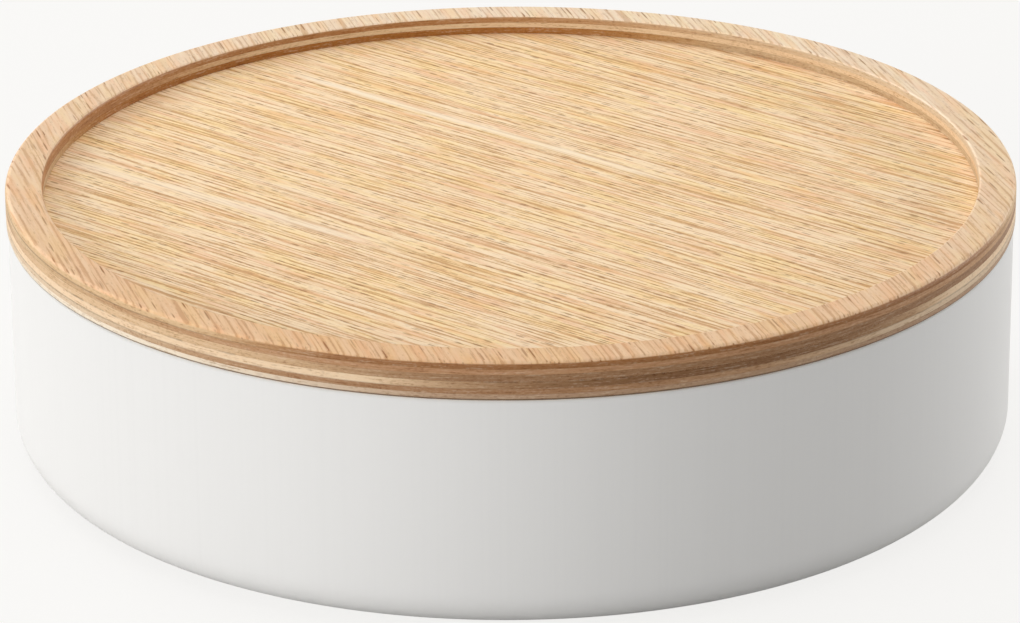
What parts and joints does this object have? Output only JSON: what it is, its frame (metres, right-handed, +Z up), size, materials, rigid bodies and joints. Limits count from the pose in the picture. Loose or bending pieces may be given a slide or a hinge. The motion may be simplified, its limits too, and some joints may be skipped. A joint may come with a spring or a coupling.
{
  "type": "round storage box with a tray lid",
  "caption": "Low round storage box: a white lacquered tub with a lift-off oak plywood lid whose raised edge makes its top a shallow tray.",
  "frame": {"origin": "centre of the flat underside of the tub, on the surface the box stands on", "axes": "+Z is up along the axis of the round box, through the centre of the lid; the front of the picture looks along +Y"},
  "size_m": [0.25, 0.25, 0.0681],
  "materials": {
    "rim_face_oak": "matte oiled oak veneer",
    "rim_core_oak": "matte oiled oak veneer, grain turned a quarter",
    "rim_back_oak": "matte oiled oak veneer",
    "panel_face_oak": "matte oiled oak veneer",
    "panel_core_oak": "matte oiled oak veneer, grain turned a quarter",
    "panel_back_oak": "matte oiled oak veneer",
    "locating_ring_oak": "matte oiled oak",
    "white_lacquer_wall": "matte white lacquer on wood",
    "white_lacquer_base": "matte white lacquer on wood"
  },
  "bodies": {
    "tub": {"tub_base": "white_lacquer_base", "tub_wall": "white_lacquer_wall"},
    "lid": {"panel_back_veneer": "panel_back_oak", "panel_core_veneer": "panel_core_oak", "panel_face_veneer": "panel_face_oak", "rim_back_veneer": "rim_back_oak", "rim_core_veneer": "rim_core_oak", "rim_face_veneer": "rim_face_oak", "locating_ring": "locating_ring_oak"}
  },
  "joints": [
    {"name": "lid_lift", "type": "slide", "parent": "tub", "child": "lid", "axis": [0, 0, 1], "range_m": [0, 0.075]}
  ]
}
